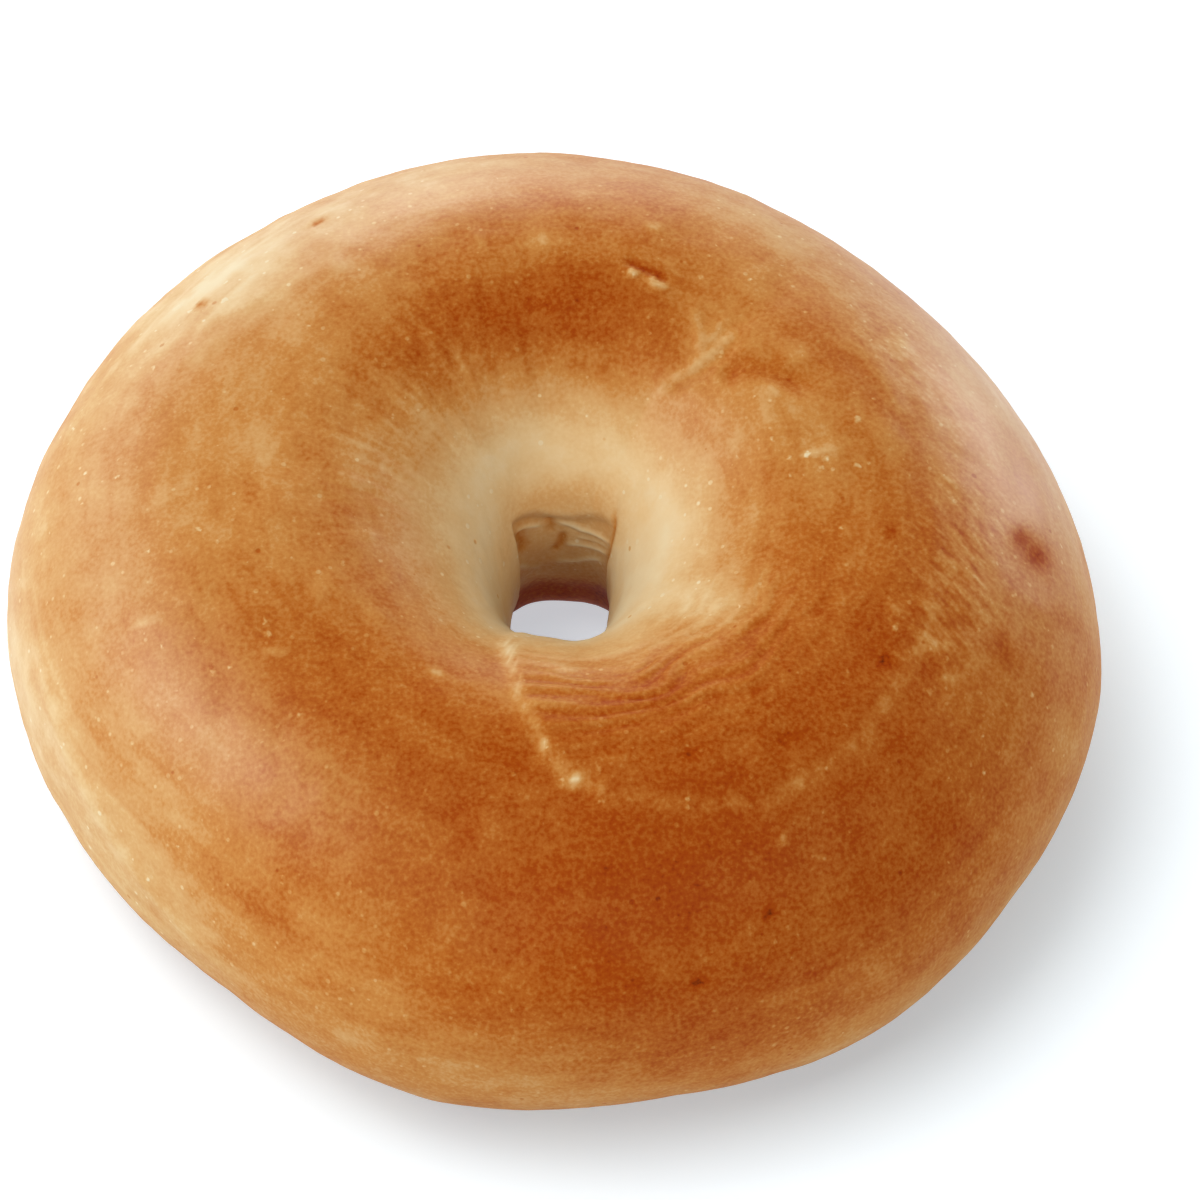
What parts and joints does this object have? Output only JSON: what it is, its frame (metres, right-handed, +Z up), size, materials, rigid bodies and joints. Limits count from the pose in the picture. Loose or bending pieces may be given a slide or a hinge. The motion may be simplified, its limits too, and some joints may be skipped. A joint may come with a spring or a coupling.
{
  "type": "bagel",
  "caption": "Plain baked bagel: a squat, slightly oval ring of golden-brown bread with a small hole right through it, lying on its flat base.",
  "frame": {"origin": "centre of the bounding box, at the table that the bagel lies on", "axes": "+Z up through the hole, +X to the right along the longest extent, -Y to the front, where the lapped end of the dough starts at the lip of the hole"},
  "size_m": [0.109, 0.1074, 0.0395],
  "materials": {
    "crust": "satin"
  },
  "bodies": {
    "root": {"bagel": "crust"}
  },
  "joints": []
}
